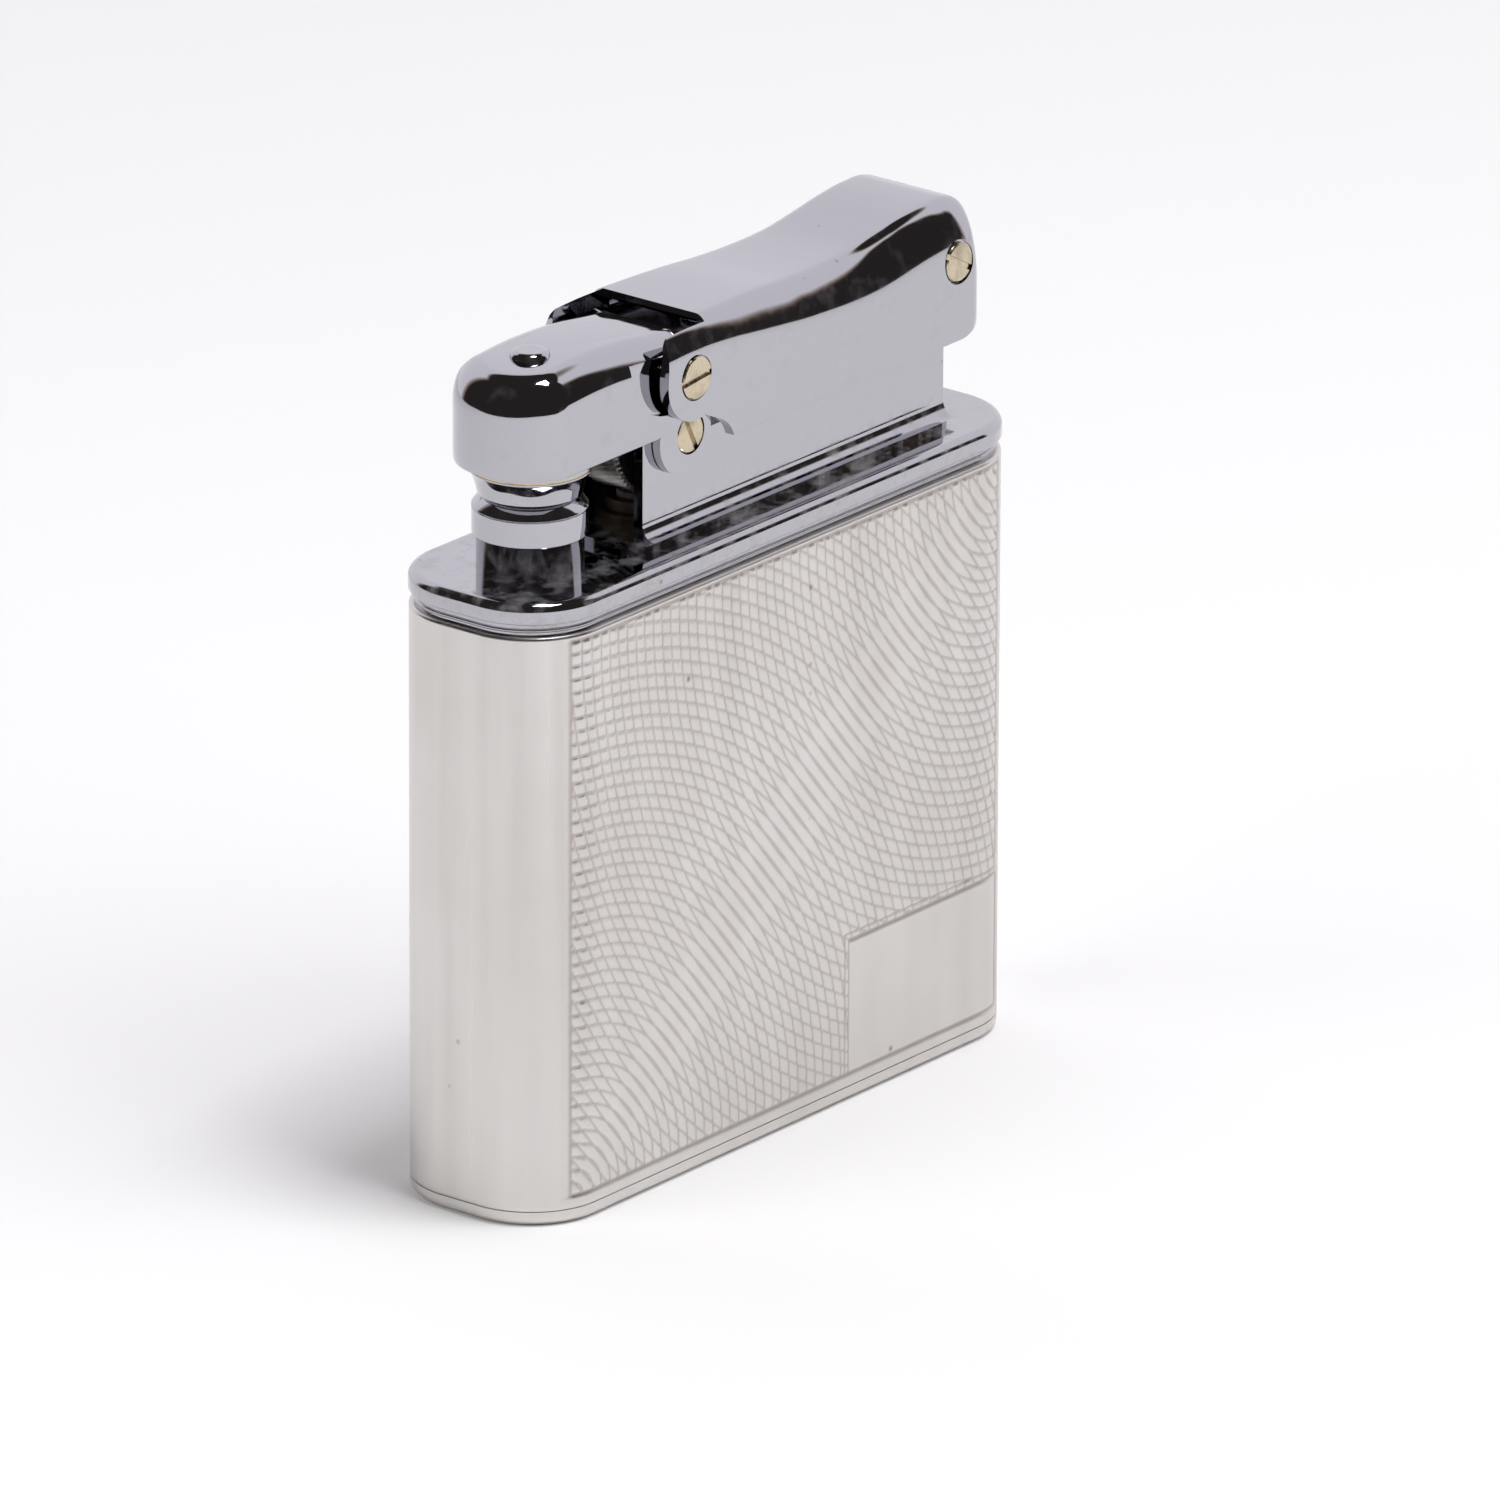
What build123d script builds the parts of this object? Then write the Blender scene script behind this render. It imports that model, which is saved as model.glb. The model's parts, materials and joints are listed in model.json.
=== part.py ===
from build123d import *
import math
import os

# Pocket petrol lighter, millimetres. X runs from the burner (-X) to the thumb end (+X), +Z is up,
# and the origin is the centre of the flat base. The case is symmetrical about Y = 0.

# ---- case ----
case_length = 46.0
case_width = 12.6
case_corner_r = 4.9
sleeve_wall = 0.4
sleeve_top_z = 36.5
base_thickness = 0.92
base_edge_r = 0.6
slip_gap = 0.05              # between pieces that slide together without play
tank_wall = 0.35
tank_floor = 0.5
wadding_gap = 0.3

# ---- top plate ----
plate_neck_height = 0.75
plate_neck_inset = 0.42
plate_lip_height = 1.3
plate_lip_r = 0.55
plate_lip_chamfer = 0.15
plate_overhang = 0.05
plate_spigot = 0.8

# ---- burner ----
burner_x = -case_length / 2 + 6.55
burner_neck_r = 3.16
burner_neck_height = 2.05
burner_collar_r = 3.42
burner_collar_height = 2.4
burner_chamfer = 0.6
burner_stem_r = 2.6
burner_stem_depth = 3.0
wick_r = 1.7
wick_stick_out = 1.2
wick_gap = 0.1

# ---- mechanism frame ----
frame_base_thickness = 0.45
frame_corner_r = 1.3
wall_outer = 3.4
wall_thickness = 0.65
wall_foot_r = 0.9
wall_ear_r = 1.9

# ---- heights the mechanism is built up from ----
plate_bottom_z = sleeve_top_z
lip_z = plate_bottom_z + plate_neck_height
plate_top_z = lip_z + plate_lip_height
frame_top_z = plate_top_z + frame_base_thickness
burner_neck_z = plate_top_z + burner_neck_height
burner_top_z = burner_neck_z + burner_collar_height

# ---- pivots, X and Z ----
axle_x = burner_x + 9.85              # snuffer arm and flint wheel
axle_z = plate_top_z + 6.15
lever_x = axle_x - 0.4                # thumb lever on the arm
lever_z = axle_z + 3.7
link_x = axle_x + 21.17               # link in the frame
link_z = axle_z - 1.7
steer_x = link_x + 3.13               # link on the thumb lever
steer_z = link_z + 5.8
running_gap = 0.03                    # radial, shafts that turn in a hole
steer_gap = 0.22                      # radial, the opened pivot of the linkage

# ---- extent of the frame ----
frame_front_x = axle_x - 5.2
wall_front_x = axle_x - 3.7
frame_rear_x = link_x + 3.33
frame_base_half = wall_outer + 0.95
wall_top_z = axle_z + 0.3

# ---- snuffer arm ----
arm_side_gap = 0.05
arm_wall = 0.55
arm_half = wall_outer + arm_side_gap + arm_wall
arm_nose_r = arm_half + 0.48
arm_bottom_z = burner_top_z + 2.1
arm_top_z = arm_bottom_z + 6.3
arm_rear_top_z = arm_top_z - 0.65
arm_rear_x = axle_x + 0.85
arm_edge_r = 1.5
arm_roof = 1.25
arm_nose_wall_x = axle_x - 6.0
arm_axle_ear_r = 2.35
arm_axle_ear_shift = 0.5
arm_lever_ear_r = 2.3
scoop_r = 3.5
scoop_depth = 0.25
scoop_shift = 1.5

# ---- snuffer cup ----
cup_rim_r = 3.6
cup_mouth_r = 3.1
cup_bore_r = 2.4
cup_seat_gap = 0.05
rivet_head_r = 1.2
rivet_head_height = 0.5
rivet_shank_r = 0.6
cup_roof = 0.3
seal_thickness = 0.35

# ---- thumb lever ----
lever_sheet = 0.65
lever_side_gap = 0.1
lever_half = arm_half + lever_side_gap + lever_sheet
lever_ear_r = 2.6
lever_ear_front = 2.0
lever_ear_top_z = lever_z + 2.8
lever_bottom_z = plate_top_z + 5.05
lever_front_x = lever_x + 1.5
lever_front_top_z = lever_z + 3.1
lever_notch_x = lever_x + 3.55
lever_rear_x = steer_x + 2.55
lever_rear_r = 2.0
lever_edge_r = 1.6
lever_hump_z = lever_z + 4.05
lever_dip_z = lever_z + 2.75
lever_dip_x = lever_x + 13.5
lever_undercut_r = 3.15

# ---- fasteners ----
screw_head_r = 1.3
axle_head_r = 1.2
screw_shoulder_r = 0.8
axle_r = 0.9
head_depth = 0.35
head_chamfer = 0.08
head_proud = 0.12
slot_width = 0.35
slot_depth = 0.2
head_gap = 0.06
axle_slot_angle = 63
pivot_slot_angle = -6
link_slot_angle = 30

# ---- spark ----
wheel_r = 4.15
wheel_half = 1.7
wheel_chamfer = 0.25
bush_r = 1.45
ratchet_r = 3.0
ratchet_root_r = 2.45
ratchet_teeth = 16
ratchet_width = 0.8
pawl_x = axle_x - 5.1
pawl_z = axle_z + 1.6
pawl_eye_r = 0.8
pawl_tip_r = 0.2
pawl_tip_radius = 2.85
pawl_tip_angle = 56.6
pawl_lead_angle = 5.4         # from the tip to the face it pushes
pawl_pin_r = 0.35
pawl_pin_head = 0.3
pawl_pin_cover = 0.15
leaf_thickness = 0.2
leaf_width = 0.5
leaf_foot = 1.6
tube_r = 1.95
tube_bore_r = 1.35
tube_flange_r = 2.45
tube_flange_height = 0.5
tube_wheel_gap = 0.35
flint_r = 1.2
flint_length = 6.0
flint_gap = 0.04
plunger_length = 2.5
plunger_crown = 1.2
spring_wire = 0.32
spring_pitch = 1.7

# ---- screws in the base ----
filler_x = case_length / 2 - 11.0
filler_head_r = 3.1
filler_shank_r = 2.0
filler_depth = 4.0
flint_head_r = 2.3
flint_shank_r = 1.25
base_head_z = 0.14
base_head_thickness = 0.48
base_slot_width = 0.7
boss_wall = 0.9
boss_cover = 0.6
base_hole_gap = 0.2

# ---- link and return spring ----
link_half = 2.5
link_sheet = 0.6
link_web = 1.6
link_eye_r = 1.08
link_pin_r = 0.55
return_wire = 0.4
return_coil_r = 1.3
return_turns = 4
return_pitch = 1.15 * return_wire

MIN_Z = (Align.CENTER, Align.CENTER, Align.MIN)
wall_inner = wall_outer - wall_thickness
arm_inner = wall_outer + arm_side_gap
lever_inner = lever_half - lever_sheet
tube_top_z = axle_z - wheel_r - tube_wheel_gap
wadding_top_z = plate_bottom_z - burner_stem_depth - 0.5
boss_top_z = base_thickness + filler_depth + boss_cover
flint_screw_top_z = base_thickness + filler_depth
flint_top_z = axle_z - wheel_r - flint_gap
flint_bottom_z = flint_top_z - flint_length
plunger_bottom_z = flint_bottom_z - plunger_length
roof_z = arm_rear_top_z - arm_roof


def z_cyl(x, y, r, z_low, z_high):
    """Upright cylinder between two heights."""
    return Pos(x, y, z_low) * Cylinder(r, z_high - z_low, align=MIN_Z)


def z_cone(x, r_low, r_high, z_low, z_high):
    """Upright cone frustum on the centre plane."""
    return Pos(x, 0, z_low) * Cone(r_low, r_high, z_high - z_low, align=MIN_Z)


def y_cyl(x, z, r, y_low, y_high):
    """Cross cylinder between two widths."""
    plane = Plane(origin=(x, y_low, z), x_dir=(1, 0, 0), z_dir=(0, 1, 0))
    return plane * Cylinder(r, y_high - y_low, align=MIN_Z)


def block(x_low, x_high, y_low, y_high, z_low, z_high):
    """Box between two corners."""
    centre = ((x_low + x_high) / 2, (y_low + y_high) / 2, (z_low + z_high) / 2)
    return Pos(*centre) * Box(x_high - x_low, y_high - y_low, z_high - z_low)


def side_slab(face, y_low, y_high):
    """Solid from a face drawn in X and Z, between two widths."""
    return extrude(Plane.XZ.offset(-y_high) * face, amount=y_high - y_low)


def case_slab(inset, z_low, z_high):
    """Slab with the plan outline of the case, set in by inset."""
    plan = RectangleRounded(case_length - 2 * inset, case_width - 2 * inset, case_corner_r - inset)
    return Pos(0, 0, z_low) * extrude(plan, amount=z_high - z_low)


def slot(x, z, face_y, r, angle, width=slot_width, depth=slot_depth):
    """Driver slot cut into a cross screw's near face."""
    cutter = Box(2 * r + 1, 2 * depth, width)
    return Pos(x, face_y, z) * Rot(0, angle, 0) * cutter


def near_screw(x, z, head_r, shank_r, face_y, seat_y, end_y, angle):
    """Slotted cheese-head screw: head from face_y to seat_y, shank on to end_y."""
    head = y_cyl(x, z, head_r, face_y, seat_y)
    head = chamfer(head.edges().group_by(Axis.Y)[0], head_chamfer)
    shank = y_cyl(x, z, shank_r, seat_y, end_y)
    return head + shank - slot(x, z, face_y, head_r, angle)


# ---- case ----
def make_outer_sleeve():
    outer = case_slab(0, base_thickness, sleeve_top_z)
    return outer - case_slab(sleeve_wall, base_thickness, sleeve_top_z)


def make_base_plate():
    plate = case_slab(0, 0, base_thickness)
    plate = fillet(plate.faces().sort_by(Axis.Z)[0].edges(), base_edge_r)
    plate -= z_cyl(filler_x, 0, filler_head_r + base_hole_gap, 0, base_thickness)
    return plate - z_cyl(axle_x, 0, flint_head_r + base_hole_gap, 0, base_thickness)


def make_fuel_tank():
    inset = sleeve_wall + slip_gap
    floor_z = base_thickness + tank_floor
    shell = case_slab(inset, base_thickness, plate_bottom_z)
    shell -= case_slab(inset + tank_wall, floor_z, plate_bottom_z)
    shell += z_cyl(filler_x, 0, filler_shank_r + boss_wall, floor_z, boss_top_z)
    shell -= z_cyl(filler_x, 0, filler_shank_r + slip_gap, base_thickness, boss_top_z)
    return shell - z_cyl(axle_x, 0, tube_r, base_thickness, floor_z)


def make_top_plate():
    neck = case_slab(plate_neck_inset, plate_bottom_z, lip_z)
    lip = case_slab(-plate_overhang, lip_z, plate_top_z)
    lip = fillet(lip.faces().sort_by(Axis.Z)[-1].edges(), plate_lip_r)
    lip = chamfer(lip.faces().sort_by(Axis.Z)[0].edges(), plate_lip_chamfer)
    spigot_inset = sleeve_wall + slip_gap + tank_wall + slip_gap
    spigot = case_slab(spigot_inset, plate_bottom_z - plate_spigot, plate_bottom_z)
    plate = neck + lip + spigot
    spigot_z = plate_bottom_z - plate_spigot
    plate -= z_cyl(burner_x, 0, burner_stem_r, spigot_z, plate_top_z)
    return plate - z_cyl(axle_x, 0, tube_r, spigot_z, plate_top_z)


def make_burner_tube():
    stem = z_cyl(burner_x, 0, burner_stem_r, plate_bottom_z - burner_stem_depth, plate_top_z)
    neck = z_cyl(burner_x, 0, burner_neck_r, plate_top_z, burner_neck_z)
    chamfer_z = burner_top_z - burner_chamfer
    collar = z_cyl(burner_x, 0, burner_collar_r, burner_neck_z, chamfer_z)
    nose = z_cone(burner_x, burner_collar_r, burner_collar_r - burner_chamfer, chamfer_z, burner_top_z)
    bore = z_cyl(burner_x, 0, wick_r + wick_gap, plate_bottom_z - burner_stem_depth, burner_top_z)
    return stem + neck + collar + nose - bore


def make_wick():
    return z_cyl(burner_x, 0, wick_r, wadding_top_z, burner_top_z + wick_stick_out)


def make_wadding():
    inset = sleeve_wall + slip_gap + tank_wall + wadding_gap
    low = base_thickness + tank_floor + wadding_gap
    pad = case_slab(inset, low, wadding_top_z)
    pad -= z_cyl(axle_x, 0, tube_r + wadding_gap, low, wadding_top_z)
    boss_r = filler_shank_r + boss_wall + wadding_gap
    return pad - z_cyl(filler_x, 0, boss_r, low, boss_top_z + wadding_gap)


# ---- mechanism frame ----
def make_mechanism_frame():
    base_plan = RectangleRounded(frame_rear_x - frame_front_x, 2 * frame_base_half, frame_corner_r)
    middle_x = (frame_front_x + frame_rear_x) / 2
    frame = Pos(middle_x, 0, plate_top_z) * extrude(base_plan, amount=frame_base_thickness)
    wall = block(wall_front_x, frame_rear_x, -wall_outer, -wall_inner, plate_top_z, wall_top_z)
    wall += y_cyl(axle_x, axle_z, wall_ear_r, -wall_outer, -wall_inner)
    foot = block(wall_front_x, frame_rear_x, -wall_outer - wall_foot_r, -wall_outer,
                 frame_top_z, frame_top_z + wall_foot_r)
    hollow_z = frame_top_z + wall_foot_r
    round_foot = Rot(0, 90, 0) * Cylinder(wall_foot_r, 2 * case_length)
    foot -= Pos(0, -wall_outer - wall_foot_r, hollow_z) * round_foot
    wall += foot
    frame += wall + mirror(wall, about=Plane.XZ)
    frame -= y_cyl(axle_x, axle_z, axle_r + running_gap, -wall_outer, wall_outer)
    frame -= y_cyl(link_x, link_z, link_pin_r, -wall_outer, wall_outer)
    return frame - z_cyl(axle_x, 0, tube_r, plate_top_z, frame_top_z)


# ---- snuffer arm ----
def make_snuffer_arm():
    # round nose over the burner cut flat at the sides, under a roof that falls slightly to the rear
    length = arm_rear_x - burner_x
    plan = Pos(burner_x, 0) * Circle(arm_nose_r)
    plan &= Pos(burner_x, 0) * Rectangle(4 * arm_nose_r, 2 * arm_half)
    plan += Pos(burner_x + length / 2, 0) * Rectangle(length, 2 * arm_half)
    nose_x = burner_x - arm_nose_r - 1
    side = Polyline((nose_x, arm_bottom_z), (arm_rear_x, arm_bottom_z), (arm_rear_x, arm_rear_top_z),
                    (nose_x, arm_top_z), close=True)
    body = Pos(0, 0, arm_bottom_z) * extrude(plan, amount=2 * (arm_top_z - arm_bottom_z))
    arm = body & side_slab(make_face(side), -arm_half, arm_half)
    roof = arm.faces().sort_by(Axis.Z)[-1]
    rear_edge = roof.edges().sort_by(Axis.X)[-1]
    arm = fillet([e for e in roof.edges() if (e.center() - rear_edge.center()).length > 0.01], arm_edge_r)
    # ears round the pivots
    arm += side_slab(Pos(lever_x, lever_z) * Circle(arm_lever_ear_r), -arm_half, arm_half)
    arm += side_slab(Pos(axle_x - arm_axle_ear_shift, axle_z) * Circle(arm_axle_ear_r), -arm_half, arm_half)
    # hollow for the frame, the wheel and the pawl
    arm -= block(arm_nose_wall_x, arm_rear_x + 5, -arm_inner, arm_inner, arm_bottom_z - 5, roof_z)
    # shallow round scoops beside the lever's ears
    for side in (-1, 1):
        y_low, y_high = sorted((side * (arm_half - scoop_depth), side * (arm_half + 1)))
        scoop = y_cyl(lever_x - scoop_shift, lever_z + scoop_shift, scoop_r, y_low, y_high)
        scoop -= y_cyl(axle_x, axle_z, arm_axle_ear_r, y_low, y_high)
        arm -= scoop
    # the near ear takes the axle screw's head flush, both ears take their screws
    arm -= y_cyl(axle_x, axle_z, axle_head_r + head_gap, -arm_half, -arm_half + head_depth)
    arm -= y_cyl(axle_x, axle_z, axle_r, -arm_half, arm_half)
    arm -= y_cyl(lever_x, lever_z, screw_shoulder_r, -arm_half, arm_half)
    # snuffer cup's rivet, pawl pin
    arm -= make_cup_rivet()
    arm -= y_cyl(pawl_x, pawl_z, pawl_pin_r, arm_inner, arm_half - pawl_pin_cover)
    return arm


def make_snuffer_cup():
    rim_z = burner_top_z + cup_seat_gap
    cup = z_cone(burner_x, cup_mouth_r, cup_rim_r, rim_z, arm_bottom_z)
    cup -= z_cyl(burner_x, 0, cup_bore_r, rim_z, arm_bottom_z - cup_roof)
    return cup - z_cyl(burner_x, 0, rivet_shank_r, rim_z, arm_bottom_z)


def make_cup_seal():
    top_z = arm_bottom_z - cup_roof
    seal = z_cyl(burner_x, 0, cup_bore_r - slip_gap, top_z - seal_thickness, top_z)
    return seal - z_cyl(burner_x, 0, rivet_shank_r, top_z - seal_thickness, top_z)


def make_cup_rivet():
    fall = (arm_top_z - arm_rear_top_z) / (arm_rear_x - burner_x + arm_nose_r + 1)
    seat_z = arm_top_z - fall * (arm_nose_r + 1)
    head = z_cyl(burner_x, 0, rivet_head_r, seat_z - 0.1, seat_z + rivet_head_height)
    head = fillet(head.edges().group_by(Axis.Z)[-1], rivet_head_height * 0.9)
    return head + z_cyl(burner_x, 0, rivet_shank_r, arm_bottom_z - cup_roof - seal_thickness, seat_z)


def make_arm_axle_screw():
    return near_screw(axle_x, axle_z, axle_head_r, axle_r, -arm_half, -arm_half + head_depth, arm_half,
                      axle_slot_angle)


def make_lever_pivot_screws():
    face_y = -lever_half - head_proud
    seat_y = -lever_half + head_depth
    near = near_screw(lever_x, lever_z, screw_head_r, screw_shoulder_r, face_y, seat_y, -arm_inner,
                      pivot_slot_angle)
    return [near, mirror(near, about=Plane.XZ)]


# ---- thumb lever ----
def lever_side_face(inset):
    """Side view of the lever without its ears, set in by inset along the top and the rear."""
    rear_x = lever_rear_x - inset
    rear_r = lever_rear_r
    hump_x = rear_x - 4.0 + inset
    top = Spline(
        (lever_front_x, lever_front_top_z - inset), (lever_dip_x - 4.5, lever_dip_z + 0.1 - inset),
        (lever_dip_x, lever_dip_z - inset), (lever_dip_x + 4.5, lever_dip_z + 0.65 - inset),
        (hump_x, lever_hump_z - inset),
        tangents=[(1, -0.02), (1, 0)])
    shoulder = Spline((hump_x, lever_hump_z - inset), (rear_x - 0.9, lever_hump_z - 1.3 - inset),
                      (rear_x, steer_z), tangents=[(1, 0), (0, -1)])
    back = Line((rear_x, steer_z), (rear_x, lever_bottom_z + rear_r))
    heel = JernArc((rear_x, lever_bottom_z + rear_r), (0, -1), rear_r, -90)
    floor_z = heel @ 1
    bottom = Polyline(floor_z, (lever_front_x, lever_bottom_z), (lever_front_x, lever_front_top_z - inset))
    return make_face(Wire([top, shoulder, back, heel] + list(bottom.edges())))


def make_thumb_lever():
    body = side_slab(lever_side_face(0), -lever_half, lever_half)
    rounded = [e for e in body.edges()
               if abs(abs(e.center().Y) - lever_half) < 0.01
               and (e.center().Z > steer_z or e.center().X > lever_rear_x - 1.5)]
    body = fillet(rounded, lever_edge_r)
    hollow = side_slab(lever_side_face(lever_sheet), -lever_inner, lever_inner)
    hollow_edges = [e for e in hollow.edges()
                    if abs(abs(e.center().Y) - lever_inner) < 0.01
                    and (e.center().Z > steer_z or e.center().X > lever_rear_x - lever_sheet - 1.5)]
    hollow = fillet(hollow_edges, lever_edge_r - lever_sheet)
    hollow += block(lever_front_x - 1, lever_rear_x - lever_sheet, -lever_inner, lever_inner,
                    lever_bottom_z - 1, lever_bottom_z + lever_rear_r + 0.2)
    # ears round the pivot screws, with a square upper corner
    front_x = lever_x - lever_ear_front
    ear = Pos(lever_x, lever_z) * Circle(lever_ear_r)
    corner = Polyline(
        (front_x, lever_z + 1.5), (front_x + 0.25, lever_ear_top_z - 0.3), (front_x + 0.6, lever_ear_top_z),
        (lever_front_x + 1, lever_ear_top_z), (lever_front_x + 1, lever_z - lever_ear_r),
        (lever_x, lever_z - lever_ear_r), (lever_x, lever_z), close=True)
    ear += make_face(corner)
    ears = side_slab(ear, -lever_half, -lever_inner) + side_slab(ear, lever_inner, lever_half)
    lever = body - hollow + ears
    # notch below the ears that clears the arm's lower ears
    notch = Polyline(
        (lever_front_x - 2, lever_bottom_z - 1), (lever_notch_x, lever_bottom_z - 1),
        (lever_notch_x, lever_bottom_z), (lever_notch_x - 0.35, axle_z - 0.6), (axle_x + 1.9, axle_z + 0.3),
        (axle_x + 0.6, lever_z - lever_ear_r), (lever_x, lever_z - lever_ear_r),
        (lever_front_x - 2, lever_z - lever_ear_r - 0.5), close=True)
    cut = side_slab(make_face(notch), -lever_half - 1, lever_half + 1)
    cut -= y_cyl(lever_x, lever_z, lever_ear_r, -lever_half - 1, lever_half + 1)
    lever -= cut
    lever -= y_cyl(lever_x, lever_z, lever_undercut_r, -lever_inner, lever_inner)
    # screw holes and the counterbores of their heads
    lever -= y_cyl(lever_x, lever_z, screw_shoulder_r + running_gap, -lever_half, lever_half)
    lever -= y_cyl(steer_x, steer_z, link_pin_r, -lever_half, lever_half)
    for side in (-1, 1):
        y_low, y_high = sorted((side * (lever_half - head_depth), side * (lever_half + 1)))
        lever -= y_cyl(lever_x, lever_z, screw_head_r + head_gap, y_low, y_high)
    seat_y = -lever_half + head_depth
    lever -= y_cyl(steer_x, steer_z, axle_head_r + 2 * head_gap, -lever_half - 1, seat_y)
    return lever


def make_link_screw():
    return near_screw(steer_x, steer_z, axle_head_r, link_pin_r, -lever_half - 0.02,
                      -lever_half + head_depth, lever_half - 0.1, link_slot_angle)


# ---- link and return spring ----
def make_link():
    """Two side bars with eyes at both ends, joined by a cross web halfway."""
    length = math.hypot(steer_x - link_x, steer_z - link_z)
    angle = math.degrees(math.atan2(steer_z - link_z, steer_x - link_x))
    middle = Pos((link_x + steer_x) / 2, (link_z + steer_z) / 2) * Rot(0, 0, angle)
    bar = middle * Rectangle(length, 1.5 * link_eye_r)
    face = bar + Pos(link_x, link_z) * Circle(link_eye_r) + Pos(steer_x, steer_z) * Circle(link_eye_r)
    plate = side_slab(face, -link_half, -link_half + link_sheet)
    web = middle * Rectangle(link_web, link_eye_r)
    link = plate + mirror(plate, about=Plane.XZ) + side_slab(web, -link_half, link_half)
    link -= y_cyl(link_x, link_z, link_pin_r + running_gap, -link_half, link_half)
    return link - y_cyl(steer_x, steer_z, link_pin_r + steer_gap, -link_half, link_half)


def make_link_pin():
    return y_cyl(link_x, link_z, link_pin_r, -wall_outer, wall_outer)


def make_return_spring():
    """Close coil round the link pin."""
    coil_half = return_turns * return_pitch / 2
    path = Helix(pitch=return_pitch, height=2 * coil_half, radius=return_coil_r,
                 center=(0, 0, -coil_half))
    start = path @ 0
    section = Plane(origin=start, z_dir=path % 0) * Circle(return_wire / 2)
    coil = sweep(section, path=path, is_frenet=True)
    coil = Pos(link_x, 0, link_z) * Rot(90, 0, 0) * coil
    return coil


# ---- spark ----
def make_wheel_bush():
    return y_cyl(axle_x, axle_z, bush_r, -wall_inner, wall_inner) \
        - y_cyl(axle_x, axle_z, axle_r + running_gap, -wall_inner, wall_inner)


def make_flint_wheel():
    wheel = y_cyl(axle_x, axle_z, wheel_r, -wheel_half, wheel_half)
    wheel = chamfer(wheel.edges().filter_by(GeomType.CIRCLE), wheel_chamfer)
    return wheel - y_cyl(axle_x, axle_z, bush_r + running_gap, -wheel_half, wheel_half)


def ratchet_point(radius, angle):
    """Point of the ratchet, at an angle that grows as the arm lifts."""
    turn = math.radians(angle)
    return (axle_x - radius * math.cos(turn), axle_z + radius * math.sin(turn))


def make_ratchet_wheel():
    step = 360 / ratchet_teeth
    first = pawl_tip_angle + pawl_lead_angle
    corners = []
    for tooth in range(ratchet_teeth):
        corners.append(ratchet_point(ratchet_root_r, first + tooth * step))
        corners.append(ratchet_point(ratchet_r, first + tooth * step))
    wheel = side_slab(make_face(Polyline(*corners, close=True)), wheel_half, wheel_half + ratchet_width)
    return wheel - y_cyl(axle_x, axle_z, bush_r + running_gap, wheel_half, wheel_half + ratchet_width)


def make_drive_pawl():
    tip_x, tip_z = ratchet_point(pawl_tip_radius, pawl_tip_angle)
    length = math.hypot(tip_x - pawl_x, tip_z - pawl_z)
    angle = math.degrees(math.atan2(tip_z - pawl_z, tip_x - pawl_x))
    bar = Pos(pawl_x, pawl_z) * Rot(0, 0, angle) * make_face(Polyline(
        (0, -pawl_eye_r + 0.1), (length, -pawl_tip_r), (length, pawl_tip_r), (0, pawl_eye_r), close=True))
    face = bar + Pos(pawl_x, pawl_z) * Circle(pawl_eye_r) + Pos(tip_x, tip_z) * Circle(pawl_tip_r)
    y_low = wheel_half + 0.1
    pawl = side_slab(face, y_low, y_low + ratchet_width - 0.1)
    return pawl - y_cyl(pawl_x, pawl_z, pawl_pin_r + running_gap, y_low, y_low + ratchet_width)


def make_pawl_pin():
    head_y = wheel_half + 0.05
    shank = y_cyl(pawl_x, pawl_z, pawl_pin_r, head_y, arm_half - pawl_pin_cover)
    return shank + y_cyl(pawl_x, pawl_z, pawl_pin_r + 0.2, head_y - pawl_pin_head, head_y)


def make_pawl_spring():
    """Leaf under the arm's roof that bears on the pawl's back."""
    y_low = wheel_half + 0.2
    foot_x = arm_nose_wall_x + leaf_foot
    leaf = Polyline(
        (arm_nose_wall_x, roof_z), (foot_x, roof_z), (pawl_x + 2.2, pawl_z + 1.15),
        (pawl_x + 2.05, pawl_z + 1.1), (foot_x - leaf_thickness, roof_z - leaf_thickness),
        (arm_nose_wall_x, roof_z - leaf_thickness), close=True)
    return side_slab(make_face(leaf), y_low, y_low + leaf_width)


def make_flint_tube():
    tube = z_cyl(axle_x, 0, tube_r, base_thickness, tube_top_z)
    tube += z_cyl(axle_x, 0, tube_flange_r, frame_top_z, frame_top_z + tube_flange_height)
    return tube - z_cyl(axle_x, 0, tube_bore_r, base_thickness, tube_top_z)


def make_flint():
    return z_cyl(axle_x, 0, flint_r, flint_bottom_z, flint_top_z)


def make_flint_plunger():
    crown_z = flint_bottom_z - plunger_crown
    return z_cyl(axle_x, 0, flint_r, crown_z, flint_bottom_z) \
        + z_cyl(axle_x, 0, flint_r / 2, plunger_bottom_z, crown_z)


def make_flint_spring():
    radius = tube_bore_r - spring_wire / 2 - 0.1
    low = flint_screw_top_z + spring_wire
    high = flint_bottom_z - plunger_crown - spring_wire
    path = Helix(pitch=spring_pitch, height=high - low, radius=radius, center=(0, 0, 0))
    section = Plane(origin=path @ 0, z_dir=path % 0) * Circle(spring_wire / 2)
    return Pos(axle_x, 0, low) * sweep(section, path=path, is_frenet=True)


# ---- screws in the base ----
def base_screw(x, head_r, shank_r, top_z):
    """Slotted screw that stands in the base, its head sunk above the resting plane."""
    head_top = base_head_z + base_head_thickness
    screw = z_cyl(x, 0, head_r, base_head_z, head_top) + z_cyl(x, 0, shank_r, head_top, top_z)
    cutter = block(x - head_r - 1, x + head_r + 1, -base_slot_width / 2, base_slot_width / 2,
                   base_head_z - 1, base_head_z + base_head_thickness / 2)
    return screw - cutter


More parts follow.
